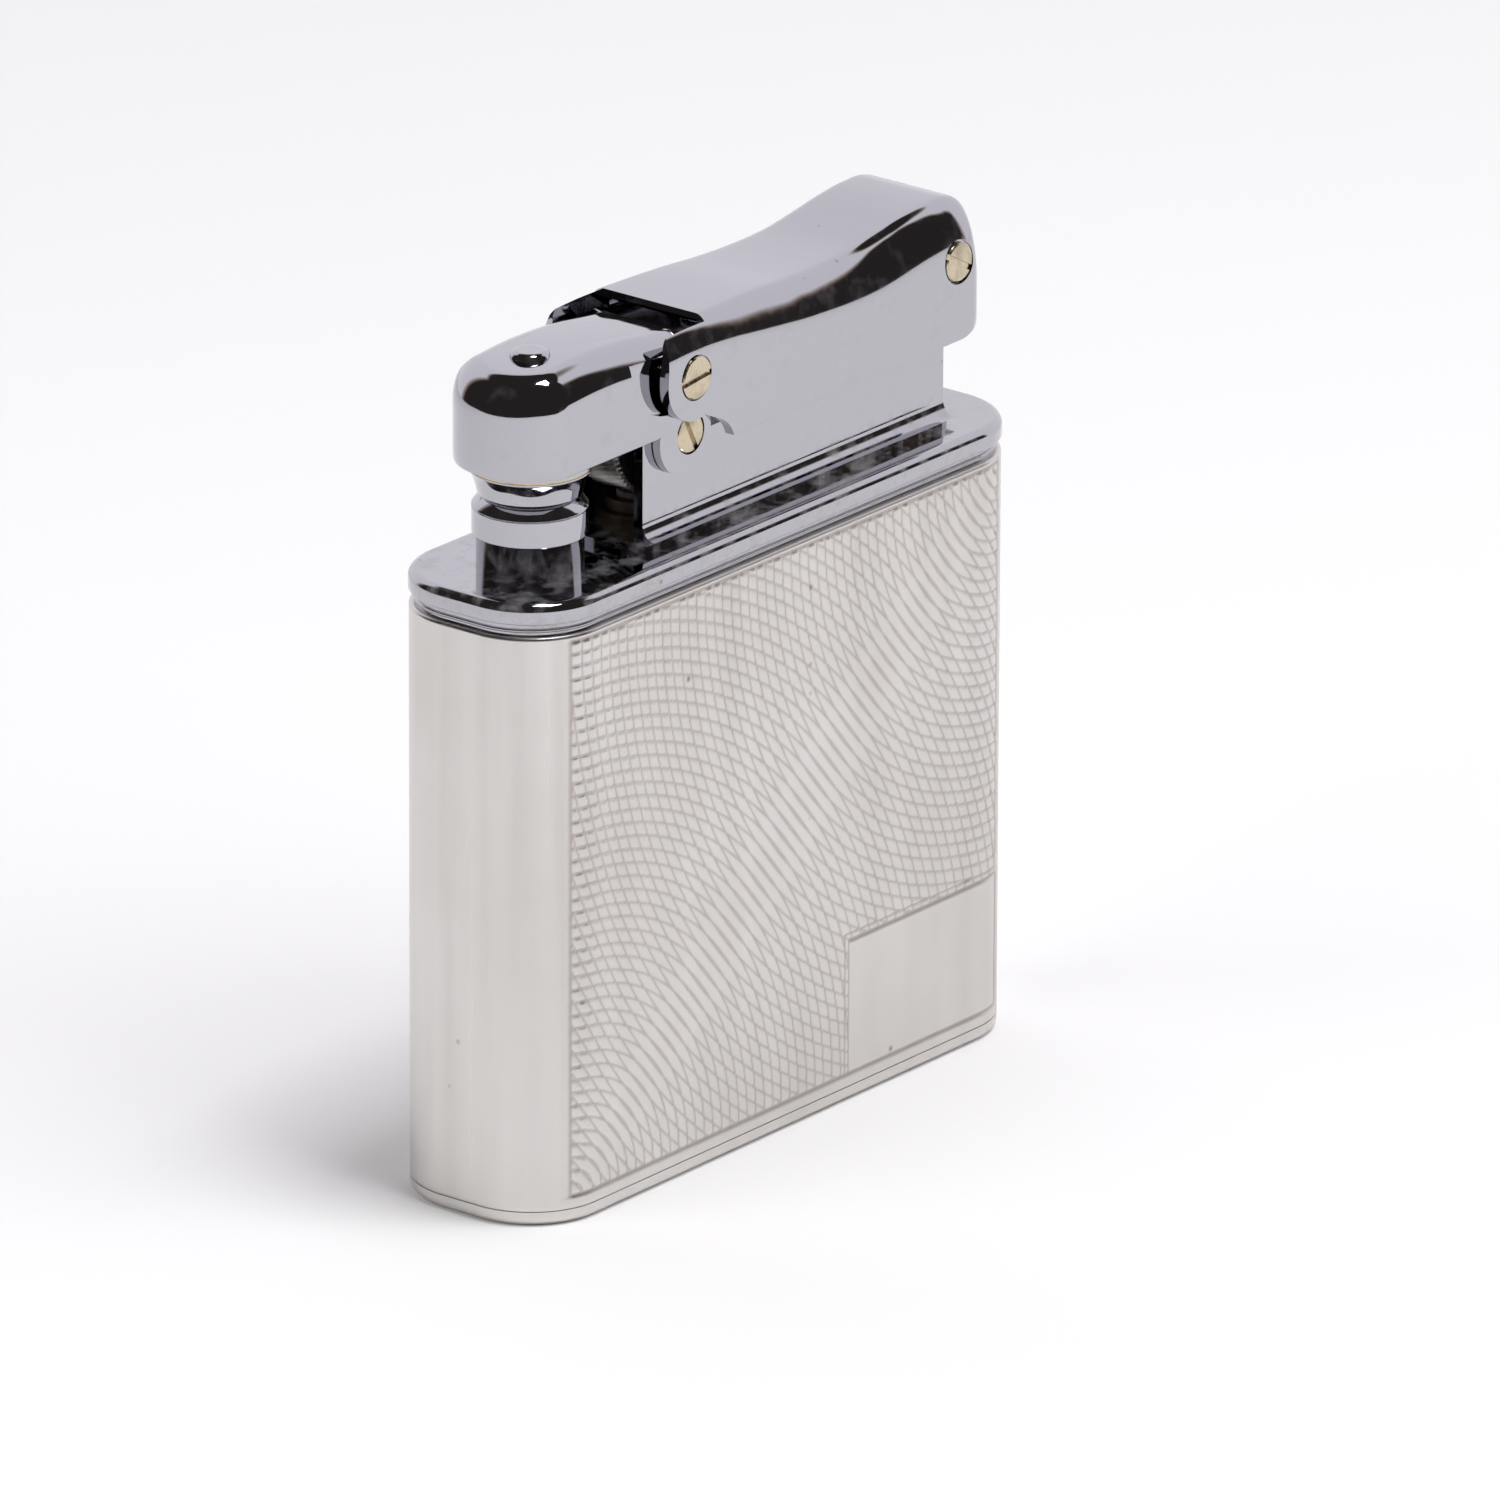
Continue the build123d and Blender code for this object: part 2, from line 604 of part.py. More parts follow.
def base_washer(x, head_r, shank_r):
    """Flat ring between a base screw's head and the tank."""
    low = base_head_z + base_head_thickness
    return z_cyl(x, 0, head_r, low, base_thickness) - z_cyl(x, 0, shank_r + slip_gap, low, base_thickness)


pieces = {
    "outer_sleeve": make_outer_sleeve(),
    "base_plate": make_base_plate(),
    "fuel_tank": make_fuel_tank(),
    "top_plate": make_top_plate(),
    "burner_tube": make_burner_tube(),
    "wick": make_wick(),
    "wadding": make_wadding(),
    "mechanism_frame": make_mechanism_frame(),
    "snuffer_arm": make_snuffer_arm(),
    "snuffer_cup": make_snuffer_cup(),
    "cup_seal": make_cup_seal(),
    "cup_rivet": make_cup_rivet(),
    "arm_axle_screw": make_arm_axle_screw(),
    "lever_pivot_screws": Compound(children=make_lever_pivot_screws()),
    "thumb_lever": make_thumb_lever(),
    "link_screw": make_link_screw(),
    "link": make_link(),
    "link_pin": make_link_pin(),
    "return_spring": make_return_spring(),
    "wheel_bush": make_wheel_bush(),
    "flint_wheel": make_flint_wheel(),
    "ratchet_wheel": make_ratchet_wheel(),
    "drive_pawl": make_drive_pawl(),
    "pawl_pin": make_pawl_pin(),
    "pawl_spring": make_pawl_spring(),
    "flint_tube": make_flint_tube(),
    "flint": make_flint(),
    "flint_plunger": make_flint_plunger(),
    "flint_spring": make_flint_spring(),
    "flint_screw": base_screw(axle_x, flint_head_r, flint_shank_r, flint_screw_top_z),
    "flint_screw_washer": base_washer(axle_x, flint_head_r, flint_shank_r),
    "filler_screw": base_screw(filler_x, filler_head_r, filler_shank_r, base_thickness + filler_depth),
    "filler_gasket": base_washer(filler_x, filler_head_r, filler_shank_r),
}

os.makedirs("parts", exist_ok=True)
for name, solid in pieces.items():
    export_step(solid, f"parts/{name}.step")
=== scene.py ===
import json
import math

import bmesh
import bpy
import numpy as np
from mathutils import Matrix, Vector


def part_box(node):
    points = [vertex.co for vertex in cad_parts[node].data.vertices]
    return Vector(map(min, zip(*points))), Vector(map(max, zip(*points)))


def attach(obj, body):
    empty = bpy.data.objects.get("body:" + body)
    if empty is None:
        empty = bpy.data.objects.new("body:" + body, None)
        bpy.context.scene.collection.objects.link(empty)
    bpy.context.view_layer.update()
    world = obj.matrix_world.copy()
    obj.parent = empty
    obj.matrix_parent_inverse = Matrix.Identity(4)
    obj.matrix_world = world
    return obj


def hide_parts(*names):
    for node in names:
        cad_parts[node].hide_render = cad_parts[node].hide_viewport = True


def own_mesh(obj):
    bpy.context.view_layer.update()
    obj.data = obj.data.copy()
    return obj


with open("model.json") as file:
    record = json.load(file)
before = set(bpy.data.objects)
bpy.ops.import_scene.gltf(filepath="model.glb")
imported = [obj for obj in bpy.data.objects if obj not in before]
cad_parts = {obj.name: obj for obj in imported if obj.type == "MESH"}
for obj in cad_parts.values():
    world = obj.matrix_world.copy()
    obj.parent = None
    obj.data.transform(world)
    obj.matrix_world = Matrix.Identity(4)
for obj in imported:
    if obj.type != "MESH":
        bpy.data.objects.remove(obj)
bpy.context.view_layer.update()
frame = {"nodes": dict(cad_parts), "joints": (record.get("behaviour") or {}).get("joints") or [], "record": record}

MM = 0.001
JOINTS = {joint["name"]: joint for joint in frame["joints"]}


def centre(node):
    """Middle of a CAD node's box."""
    low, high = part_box(node)
    return (low + high) / 2


# ---------------------------------------------------------------- materials
MIX_FIRST, MIX_SECOND, MIX_RESULT = 6, 7, 2      # the Mix node's colour sockets
SPECK_THRESHOLD = 0.93                           # cells whose random value is over this hold a dot


def new_material(name, color, metallic, roughness):
    """A Principled material, with its node tree and its main node."""
    made = bpy.data.materials.new(name)
    made.use_nodes = True
    tree = made.node_tree
    shader = tree.nodes["Principled BSDF"]
    shader.inputs["Base Color"].default_value = (*color, 1)
    shader.inputs["Metallic"].default_value = metallic
    shader.inputs["Roughness"].default_value = roughness
    return made, tree, shader


def noise(tree, scale, detail=3.0, stretch=None):
    """Noise over the object's own coordinates, stretched where stretch says."""
    place = tree.nodes.new("ShaderNodeTexCoord")
    texture = tree.nodes.new("ShaderNodeTexNoise")
    texture.inputs["Scale"].default_value = scale
    texture.inputs["Detail"].default_value = detail
    source = place.outputs["Object"]
    if stretch:
        mapping = tree.nodes.new("ShaderNodeMapping")
        mapping.inputs["Scale"].default_value = stretch
        tree.links.new(source, mapping.inputs["Vector"])
        source = mapping.outputs["Vector"]
    tree.links.new(source, texture.inputs["Vector"])
    return texture.outputs["Fac"]


def ramp(tree, source, low, high, from_value, to_value):
    """Maps source from low..high to from_value..to_value, clamped."""
    node = tree.nodes.new("ShaderNodeMapRange")
    node.inputs["From Min"].default_value = low
    node.inputs["From Max"].default_value = high
    node.inputs["To Min"].default_value = from_value
    node.inputs["To Max"].default_value = to_value
    tree.links.new(source, node.inputs["Value"])
    return node.outputs["Result"]


def mix_color(tree, factor, first, second):
    """Colour between first and second by factor; each is a colour or an output."""
    node = tree.nodes.new("ShaderNodeMix")
    node.data_type = "RGBA"
    tree.links.new(factor, node.inputs["Factor"])
    for value, number in ((first, MIX_FIRST), (second, MIX_SECOND)):
        if isinstance(value, tuple):
            node.inputs[number].default_value = (*value, 1)
        else:
            tree.links.new(value, node.inputs[number])
    return node.outputs[MIX_RESULT]


def math_node(tree, operation, *values):
    """Result of a Math node; each value is a number or an output."""
    node = tree.nodes.new("ShaderNodeMath")
    node.operation = operation
    for value, socket in zip(values, node.inputs):
        if isinstance(value, (int, float)):
            socket.default_value = value
        else:
            tree.links.new(value, socket)
    return node.outputs[0]


def add_bump(tree, shader, height, distance):
    """Bump of the given height field, distance deep in metres."""
    bump = tree.nodes.new("ShaderNodeBump")
    bump.inputs["Distance"].default_value = distance
    tree.links.new(height, bump.inputs["Height"])
    tree.links.new(bump.outputs["Normal"], shader.inputs["Normal"])


def specks(tree, scale, size):
    """Mask of small scattered dots: 1 in a dot, 0 elsewhere."""
    place = tree.nodes.new("ShaderNodeTexCoord")
    cells = tree.nodes.new("ShaderNodeTexVoronoi")
    cells.inputs["Scale"].default_value = scale
    tree.links.new(place.outputs["Object"], cells.inputs["Vector"])
    near = ramp(tree, cells.outputs["Distance"], 0.0, size, 1.0, 0.0)
    split = tree.nodes.new("ShaderNodeSeparateColor")
    tree.links.new(cells.outputs["Color"], split.inputs["Color"])
    chosen = math_node(tree, "GREATER_THAN", split.outputs["Red"], SPECK_THRESHOLD)
    return math_node(tree, "MULTIPLY", near, chosen)


CHROME_COLOR = (0.455, 0.45, 0.485)
DUST_COLOR, SOOT_COLOR = (0.42, 0.40, 0.37), (0.20, 0.17, 0.14)
DUST_ROUGHNESS, DUST_METALLIC = 0.34, 0.25
DUST_FULL_Z, DUST_NONE_Z = 39.3 * MM, 40.6 * MM      # settled dust thins out between these heights
DUST_HIGH_SHARE = 0.06                               # what is left of it above them


def chrome(name, film, settled=False):
    """Mirror chromium plate. film is how much dust lies on it, 0 to 1; settled keeps it to the low parts."""
    made, tree, shader = new_material(name, CHROME_COLOR, 1.0, 0.05)
    patches = noise(tree, 420 + 900 * film, 6.0)
    dusty = ramp(tree, patches, 0.62 - 0.30 * film, 0.78, 0.0, film)
    if settled:
        height = tree.nodes.new("ShaderNodeSeparateXYZ")
        tree.links.new(tree.nodes.new("ShaderNodeTexCoord").outputs["Object"], height.inputs[0])
        low_down = ramp(tree, height.outputs["Z"], DUST_FULL_Z, DUST_NONE_Z, 1.0, DUST_HIGH_SHARE)
        dusty = math_node(tree, "MULTIPLY", dusty, low_down)
    clean = ramp(tree, noise(tree, 2600, 2.0), 0.3, 0.7, 0.035, 0.075)
    rough = math_node(tree, "MULTIPLY_ADD", dusty, DUST_ROUGHNESS, clean)
    tree.links.new(rough, shader.inputs["Roughness"])
    tinted = mix_color(tree, dusty, CHROME_COLOR, DUST_COLOR)
    color = mix_color(tree, specks(tree, 900, 0.16), tinted, SOOT_COLOR)
    tree.links.new(color, shader.inputs["Base Color"])
    tree.links.new(ramp(tree, dusty, 0.0, 1.0, 1.0, DUST_METALLIC), shader.inputs["Metallic"])
    add_bump(tree, shader, noise(tree, 260, 2.0), 0.012 * MM)
    return made


SILVER_LIGHT, SILVER_DARK = (0.70, 0.68, 0.66), (0.64, 0.615, 0.59)
PIT_COLOR, TARNISH_COLOR = (0.22, 0.18, 0.14), (0.33, 0.265, 0.235)
TARNISH_SHARE = 0.6          # how much of the tarnish colour the deepest lines take
CUT_ATTRIBUTE = "cut"        # per point, the share of the full line depth


def satin_silver():
    """Satin silver plate with faint drawn streaks, a few dark pits and tarnish in the cut lines."""
    made, tree, shader = new_material("satin_silver", (0.80, 0.775, 0.75), 1.0, 0.34)
    streaks = noise(tree, 700, 4.0, (1.0, 1.0, 0.04))
    tree.links.new(ramp(tree, streaks, 0.3, 0.7, 0.27, 0.40), shader.inputs["Roughness"])
    cloud = ramp(tree, noise(tree, 60, 3.0), 0.35, 0.65, 0.0, 1.0)
    tone = mix_color(tree, cloud, SILVER_LIGHT, SILVER_DARK)
    pitted = mix_color(tree, specks(tree, 520, 0.13), tone, PIT_COLOR)
    cut = tree.nodes.new("ShaderNodeAttribute")
    cut.attribute_name = CUT_ATTRIBUTE
    tarnish = ramp(tree, cut.outputs["Fac"], 0.3, 1.0, 0.0, TARNISH_SHARE)
    tree.links.new(mix_color(tree, tarnish, pitted, TARNISH_COLOR), shader.inputs["Base Color"])
    add_bump(tree, shader, streaks, 0.0015 * MM)
    return made


def brass(name, color, roughness):
    """Brass with fine turning marks and darker tarnish in patches."""
    made, tree, shader = new_material(name, color, 1.0, roughness)
    marks = noise(tree, 5200, 2.0, (1.0, 0.1, 0.25))
    rough = ramp(tree, marks, 0.3, 0.7, roughness - 0.08, roughness + 0.10)
    tree.links.new(rough, shader.inputs["Roughness"])
    tarnish = ramp(tree, noise(tree, 900, 4.0), 0.45, 0.75, 0.0, 1.0)
    darker = tuple(c * 0.62 for c in color)
    tree.links.new(mix_color(tree, tarnish, color, darker), shader.inputs["Base Color"])
    add_bump(tree, shader, marks, 0.008 * MM)
    return made


def steel(name, color, roughness):
    """Ground steel with a fine grain and dull stains."""
    made, tree, shader = new_material(name, color, 1.0, roughness)
    grain = noise(tree, 3800, 3.0, (1.0, 0.15, 1.0))
    rough = ramp(tree, grain, 0.3, 0.7, roughness - 0.08, roughness + 0.12)
    tree.links.new(rough, shader.inputs["Roughness"])
    stain = ramp(tree, noise(tree, 700, 4.0), 0.45, 0.7, 0.0, 1.0)
    darker = tuple(c * 0.6 for c in color)
    tree.links.new(mix_color(tree, stain, color, darker), shader.inputs["Base Color"])
    add_bump(tree, shader, grain, 0.01 * MM)
    return made


def matt(name, color, roughness, scale, depth):
    """Matt stuff such as cotton, rubber, fibre and flint: mottled, with a grain."""
    made, tree, shader = new_material(name, color, 0.0, roughness)
    grain = noise(tree, scale, 5.0)
    darker = tuple(c * 0.7 for c in color)
    tone = mix_color(tree, ramp(tree, grain, 0.35, 0.65, 0.0, 1.0), color, darker)
    tree.links.new(tone, shader.inputs["Base Color"])
    tree.links.new(ramp(tree, grain, 0.3, 0.7, roughness - 0.1, roughness), shader.inputs["Roughness"])
    add_bump(tree, shader, grain, depth)
    return made


def make_materials():
    """One material for each slot, by slot name, with the dusty chrome and the stained brass beside them."""
    return {
        "satin_silver": satin_silver(),
        "chrome": chrome("chrome", 0.12),
        "chrome_dusty": chrome("chrome_dusty", 0.5, settled=True),
        "stained_brass": brass("stained_brass", (0.24, 0.19, 0.13), 0.45),
        "tank_brass": brass("tank_brass", (0.72, 0.56, 0.30), 0.36),
        "screw_brass": brass("screw_brass", (0.60, 0.52, 0.38), 0.24),
        "steel": steel("steel", (0.55, 0.55, 0.57), 0.30),
        "wheel_steel": steel("wheel_steel", (0.30, 0.29, 0.28), 0.34),
        "spring_steel": steel("spring_steel", (0.45, 0.45, 0.47), 0.28),
        "ferrocerium": matt("ferrocerium", (0.16, 0.15, 0.145), 0.7, 2500, 0.02 * MM),
        "wick_cotton": matt("wick_cotton", (0.80, 0.76, 0.68), 0.95, 2200, 0.06 * MM),
        "wadding_cotton": matt("wadding_cotton", (0.86, 0.85, 0.82), 0.97, 900, 0.1 * MM),
        "seal_rubber": matt("seal_rubber", (0.05, 0.045, 0.04), 0.6, 1800, 0.01 * MM),
        "washer_fibre": matt("washer_fibre", (0.36, 0.12, 0.07), 0.75, 2600, 0.01 * MM),
    }


# ---------------------------------------------------------------- mesh building
SHARP_DEG, CARVED_SHARP_DEG = 35, 32     # edges over these stay crisp, as built and after carving
ENGRAVED_SHARP_DEG, TEETH_SHARP_DEG = 70, 20


def build(name, vertices, faces, material, sharp_deg=SHARP_DEG):
    """A smooth mesh object whose edges over sharp_deg stay crisp."""
    mesh = bpy.data.meshes.new(name)
    mesh.from_pydata([tuple(v) for v in vertices], [], faces)
    mesh.validate()
    outward = bmesh.new()
    outward.from_mesh(mesh)
    bmesh.ops.recalc_face_normals(outward, faces=outward.faces)
    outward.to_mesh(mesh)
    outward.free()
    mesh.shade_smooth()
    mesh.set_sharp_from_angle(angle=math.radians(sharp_deg))
    made = bpy.data.objects.new(name, mesh)
    bpy.context.scene.collection.objects.link(made)
    mesh.materials.append(material)
    return made


def quads_between(first, second, count):
    """Quads between two closed loops of count points, each given by its first index."""
    return [(first + i, first + (i + 1) % count, second + (i + 1) % count, second + i) for i in range(count)]


def loft(loops):
    """Vertices and faces through closed loops of equal length, first to last, capped at both ends."""
    count = len(loops[0])
    vertices = [p for loop in loops for p in loop]
    last = (len(loops) - 1) * count
    faces = []
    for start in range(0, last, count):
        faces += quads_between(start, start + count, count)
    faces.append(tuple(reversed(range(count))))
    faces.append(tuple(range(last, last + count)))
    return vertices, faces


def ring_loft(loops):
    """Vertices and quads of a body that closes on itself, last loop to first."""
    count, rows = len(loops[0]), len(loops)
    vertices = [p for loop in loops for p in loop]
    faces = []
    for row in range(rows):
        faces += quads_between(row * count, (row + 1) % rows * count, count)
    return vertices, faces


def finish_piece(piece, body, slot, *nodes):
    """Attaches a piece to the body it rides on and hides the CAD nodes it stands for; slot is not used."""
    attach(piece, body)
    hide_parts(*nodes)
    return piece


def lathe(name, axis_x, profile, material, segments=128):
    """Turned ring on an upright axis at axis_x. profile is a closed line of (radius, height)."""
    turn = np.linspace(0, 2 * math.pi, segments, endpoint=False)
    loops = [[(axis_x + r * math.cos(t), r * math.sin(t), z) for t in turn] for r, z in profile]
    return build(name, *ring_loft(loops), material)


def arc(centre_point, radius, start_deg, end_deg, steps):
    """Points of an arc in a profile plane."""
    angles = np.radians(np.linspace(start_deg, end_deg, steps))
    return [(centre_point[0] + radius * math.cos(a), centre_point[1] + radius * math.sin(a)) for a in angles]


def plan_outline(half_x, half_y, corner_r, flat_step, corner_steps, dense=None):
    """Rounded rectangle as (x, y, nx, ny) points, anticlockwise from the start of the near right corner.

    dense, if given, is (half width, step): columns between those X limits on both long sides are that
    close, measured along the outline.
    """
    points = []
    flat_x, flat_y = half_x - corner_r, half_y - corner_r
    corners = [(flat_x, -flat_y, -90), (flat_x, flat_y, 0), (-flat_x, flat_y, 90), (-flat_x, -flat_y, 180)]
    for number, (cx, cy, start) in enumerate(corners):
        before_end = number in (0, 2)        # the corners that lead into a short end
        angles = list(np.linspace(start, start + 90, corner_steps))
        if dense:
            turn = math.degrees(math.asin((dense[0] - flat_x) / corner_r))
            fine_steps = max(2, round(math.radians(turn) * corner_r / dense[1]))
            side = list(np.linspace(0, turn, fine_steps)) + list(np.linspace(turn, 90, corner_steps))[1:]
            angles = [start + a for a in side] if before_end else [start + 90 - a for a in reversed(side)]
        for angle in angles:
            nx, ny = math.cos(math.radians(angle)), math.sin(math.radians(angle))
            points.append((cx + corner_r * nx, cy + corner_r * ny, nx, ny))
        if before_end:
            sign = 1 if number == 0 else -1
            steps = max(2, int(2 * flat_y / flat_step))
            for t in np.linspace(0, 1, steps + 1)[1:-1]:
                points.append((sign * half_x, sign * (-flat_y + 2 * flat_y * t), sign, 0))
        else:
            sign = -1 if number == 1 else 1
            step = dense[1] if dense else flat_step
            steps = max(2, int(2 * flat_x / step))
            for t in np.linspace(0, 1, steps + 1)[1:-1]:
                points.append((sign * (-flat_x + 2 * flat_x * t), -sign * half_y, 0, -sign))
    return np.array(points)


def inset_loop(outline, inset, z):
    """The outline moved in along its normals, at a height."""
    return [(p[0] - p[2] * inset, p[1] - p[3] * inset, z) for p in outline]


# ---------------------------------------------------------------- case
PANEL_HALF = 19.95 * MM          # half width of each engraved panel
PANEL_LOW, PANEL_HIGH = 1.75 * MM, 36.1 * MM
CARTOUCHE_LEFT, CARTOUCHE_TOP = 5.6 * MM, 10.2 * MM
LINE_PITCH = 0.8 * MM
LINE_DEPTH = 0.07 * MM
LINE_SHARPNESS = 8               # a higher power leaves narrower lines and wider lands
BORDER_WIDTH = 0.2 * MM
ENGRAVING_STEP = 0.12 * MM
ENGRAVING_START = 0.3 * MM       # first row above the sleeve's foot
SLEEVE_CORNER = 4.9 * MM
SLEEVE_WALL = 0.4 * MM
SLEEVE_LIP_R = 0.22 * MM
SLEEVE_FOOT_CUT = 0.06 * MM


def groove(distance):
    """Depth share of concentric lines at a distance from their centre."""
    return (0.5 + 0.5 * np.cos(2 * math.pi * distance / LINE_PITCH)) ** LINE_SHARPNESS


def engraving(x, z, near):
    """Depth of the engine turning at points of a long side; x runs right as that side is looked at."""
    low_arcs = groove(np.hypot(x + PANEL_HALF, z - PANEL_LOW))
    high_arcs = groove(np.hypot(x - PANEL_HALF, z - PANEL_HIGH))
    depth = np.maximum(low_arcs, high_arcs)
    edge = np.minimum(np.minimum(x + PANEL_HALF, PANEL_HALF - x), np.minimum(z - PANEL_LOW, PANEL_HIGH - z))
    inside = edge > 0
    border = np.abs(edge) < BORDER_WIDTH / 2
    if near:
        away = np.maximum(CARTOUCHE_LEFT - x, z - CARTOUCHE_TOP)
        inside &= away > 0
        border |= (np.abs(away) < BORDER_WIDTH / 2) & (edge > -BORDER_WIDTH / 2)
        border |= (np.abs(away - 2 * BORDER_WIDTH) < BORDER_WIDTH / 4) & (edge > 0)
    return LINE_DEPTH * np.where(border, 1.0, np.where(inside, depth, 0.0))


def make_sleeve(material):
    """The drawn outer sleeve, engine turned on both long sides, with a plain cartouche on the near one."""
    low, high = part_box("outer_sleeve")
    outline = plan_outline(high.x, high.y, SLEEVE_CORNER, 1.0 * MM, 16, (PANEL_HALF, ENGRAVING_STEP))
    x, y, nx, ny = outline.T
    loops = [inset_loop(outline, SLEEVE_WALL, low.z), inset_loop(outline, SLEEVE_FOOT_CUT, low.z),
             inset_loop(outline, 0.0, low.z + SLEEVE_FOOT_CUT)]
    first = len(loops) * len(outline)
    cut = []
    for z in np.arange(low.z + ENGRAVING_START, high.z - SLEEVE_LIP_R, ENGRAVING_STEP):
        depth = np.where(y < 0, engraving(x, z, True), engraving(-x, z, False))
        depth = np.where(np.abs(x) > PANEL_HALF + BORDER_WIDTH, 0.0, depth)
        loops.append([(px - a * d, py - b * d, z) for px, py, a, b, d in zip(x, y, nx, ny, depth)])
        cut.append(depth / LINE_DEPTH)
    for radius, height in arc((0, 0), SLEEVE_LIP_R, 0, 90, 6):
        loops.append(inset_loop(outline, SLEEVE_LIP_R - radius, high.z - SLEEVE_LIP_R + height))
    loops.append(inset_loop(outline, SLEEVE_WALL, high.z))
    vertices, faces = ring_loft(loops)
    made = build("engraved_sleeve", vertices, faces, material, ENGRAVED_SHARP_DEG)
    shares = np.zeros(len(vertices))
    shares[first:first + len(cut) * len(outline)] = np.concatenate(cut)
    made.data.attributes.new(CUT_ATTRIBUTE, "FLOAT", "POINT").data.foreach_set("value", shares)
    return finish_piece(made, "case", "satin_silver", "outer_sleeve")


def make_top_plate(material):
    """Plate with a recessed beaded neck and a lip with a rounded upper edge."""
    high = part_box("top_plate")[1]
    neck, neck_top = 0.42 * MM, 0.70 * MM
    bead_low, bead_height, bead_depth = 0.2 * MM, 0.24 * MM, 0.1 * MM
    under_r, lip_low, lip_r = 0.14 * MM, 0.77 * MM, 0.55 * MM
    outline = plan_outline(high.x, high.y, SLEEVE_CORNER + 0.05 * MM, 0.6 * MM, 28)
    base_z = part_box("outer_sleeve")[1].z
    profile = [(neck + 0.6 * MM, base_z), (neck, base_z), (neck, base_z + bead_low)]
    profile += [(neck - bead_depth * math.sin(a), base_z + bead_low + bead_height * (1 - math.cos(a)) / 2)
                for a in np.linspace(0.3, math.pi - 0.3, 6)]
    profile += [(neck, base_z + bead_low + bead_height + 0.02 * MM), (neck, base_z + neck_top),
                (neck - 0.04 * MM, base_z + neck_top + 0.05 * MM), (under_r, base_z + lip_low)]
    profile += [(under_r - r, z) for r, z in arc((0, base_z + lip_low + under_r), under_r, -75, 0, 5)]
    profile += [(lip_r - r, z) for r, z in arc((0, high.z - lip_r), lip_r, 0, 90, 12)]
    profile += [(lip_r + 0.1 * MM, high.z), (lip_r + 0.5 * MM, high.z)]
    vertices, faces = loft([inset_loop(outline, inset, z) for inset, z in profile])
    made = build("lid_plate", vertices, faces, material)
    return finish_piece(made, "case", "chrome", "top_plate")


def box_radius(node):
    """Radius of an upright turned CAD node, from its box."""
    low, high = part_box(node)
    return (high.x - low.x) / 2


def make_burner(material):
    """Turned burner tube: plain neck, wider collar with a fine groove and a bevelled nose round the wick."""
    low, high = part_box("burner_tube")
    collar_r = box_radius("burner_tube")
    neck_r, bore_r = collar_r - 0.26 * MM, box_radius("wick") + 0.1 * MM
    shank_r = neck_r - 0.56 * MM                       # the part that goes down through the plate
    plate_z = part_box("top_plate")[1].z
    collar_z = plate_z + 2.05 * MM
    groove_z = collar_z + 1.62 * MM
    nose_z = high.z - 0.6 * MM
    edge, chamfer, groove_depth = 0.05 * MM, 0.08 * MM, 0.07 * MM
    bevel = 0.62 * MM
    profile = [(bore_r, low.z), (shank_r, low.z), (shank_r, plate_z), (neck_r, plate_z),
               (neck_r, collar_z - edge), (neck_r + 0.02 * MM, collar_z), (collar_r - chamfer, collar_z),
               (collar_r, collar_z + chamfer), (collar_r, groove_z - edge),
               (collar_r - groove_depth, groove_z), (collar_r, groove_z + edge),
               (collar_r, nose_z - 0.1 * MM), (collar_r - edge, nose_z),
               (collar_r - bevel + 0.07 * MM, high.z - 0.04 * MM), (collar_r - bevel, high.z),
               (bore_r, high.z)]
    made = lathe("burner", centre("burner_tube").x, profile, material)
    return finish_piece(made, "case", "chrome", "burner_tube")


def make_cup(chrome_material, brass_material):
    """Snuffer cup: a flared bell with a worn brass line above its widest part."""
    low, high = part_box("snuffer_cup")
    rim_r = box_radius("snuffer_cup")
    mouth_r = rim_r - 0.5 * MM
    axis_x = centre("snuffer_cup").x
    bore_r = box_radius("cup_seal") + 0.05 * MM
    line_z, line = high.z - 0.5 * MM, 0.1 * MM         # the line's lower edge, and its height and depth
    profile = [(bore_r, low.z), (mouth_r - 0.1 * MM, low.z), (mouth_r, low.z + 0.08 * MM),
               (mouth_r + 0.16 * MM, low.z + 0.7 * MM), (rim_r - 0.12 * MM, low.z + 1.3 * MM),
               (rim_r, line_z - line), (rim_r, line_z), (rim_r - line, line_z), (rim_r - line, line_z + line),
               (rim_r, line_z + line), (rim_r, high.z - 0.1 * MM), (rim_r - 0.1 * MM, high.z),
               (bore_r, high.z)]
    cup = lathe("cup", axis_x, profile, chrome_material)
    finish_piece(cup, "arm", "chrome", "snuffer_cup")
    play, sunk = 0.01 * MM, 0.03 * MM
    inner_r, outer_r = rim_r - line, rim_r - sunk
    band_low, band_high = line_z + play, line_z + line - play
    band = lathe("cup_band", axis_x, [(inner_r, band_low), (outer_r, band_low), (outer_r, band_high),
                                      (inner_r, band_high)], brass_material)
    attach(band, "arm")


